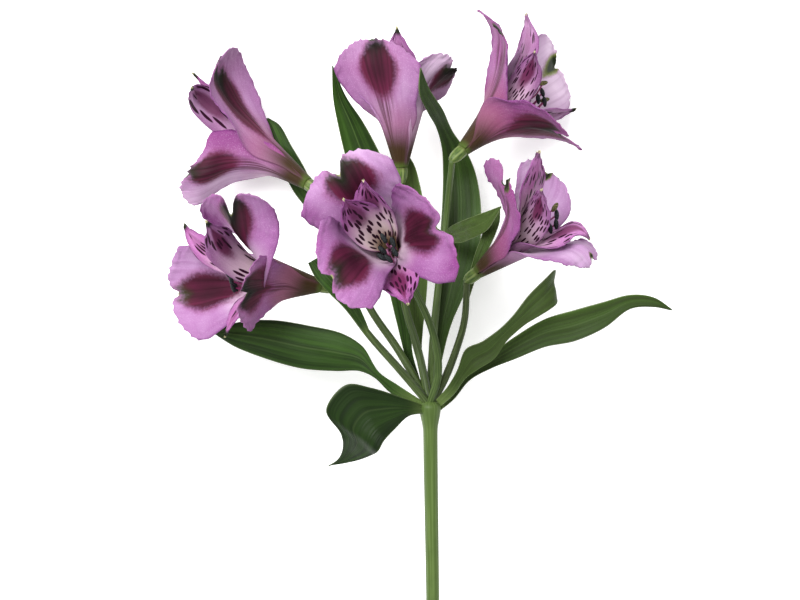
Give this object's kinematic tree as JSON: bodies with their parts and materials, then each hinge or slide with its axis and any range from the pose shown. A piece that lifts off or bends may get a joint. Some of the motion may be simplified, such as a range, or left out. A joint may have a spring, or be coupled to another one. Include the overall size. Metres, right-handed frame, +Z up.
{
  "type": "alstroemeria stem",
  "caption": "A cut alstroemeria stem lying on its side, with an umbel of open mauve flowers over a whorl of leaves",
  "frame": {"origin": "On the table, at the middle of the bounding box's base", "axes": "+Y runs along the stalk from its cut end to the flowers, +Z is up from the table, and +X is to the right seen from above with the flowers away"},
  "size_m": [0.2025, 0.3558, 0.1325],
  "materials": {
    "stalk": "satin",
    "ovary": "satin",
    "leaf": "satin",
    "petal": "satin",
    "stamen": "matte"
  },
  "bodies": {
    "root": {"stalk": "stalk", "petals_1": "petal", "ovary_1": "ovary", "stamens_1": "stamen", "petals_2": "petal", "ovary_2": "ovary", "stamens_2": "stamen", "petals_3": "petal", "ovary_3": "ovary", "stamens_3": "stamen", "petals_4": "petal", "ovary_4": "ovary", "stamens_4": "stamen", "petals_5": "petal", "ovary_5": "ovary", "stamens_5": "stamen", "petals_6": "petal", "ovary_6": "ovary", "stamens_6": "stamen", "leaf_1": "leaf", "leaf_2": "leaf", "leaf_3": "leaf", "leaf_4": "leaf", "leaf_5": "leaf", "leaf_6": "leaf", "leaf_7": "leaf", "bract_1": "leaf", "bract_3": "leaf", "bract_4": "leaf", "bract_6": "leaf"}
  },
  "joints": []
}
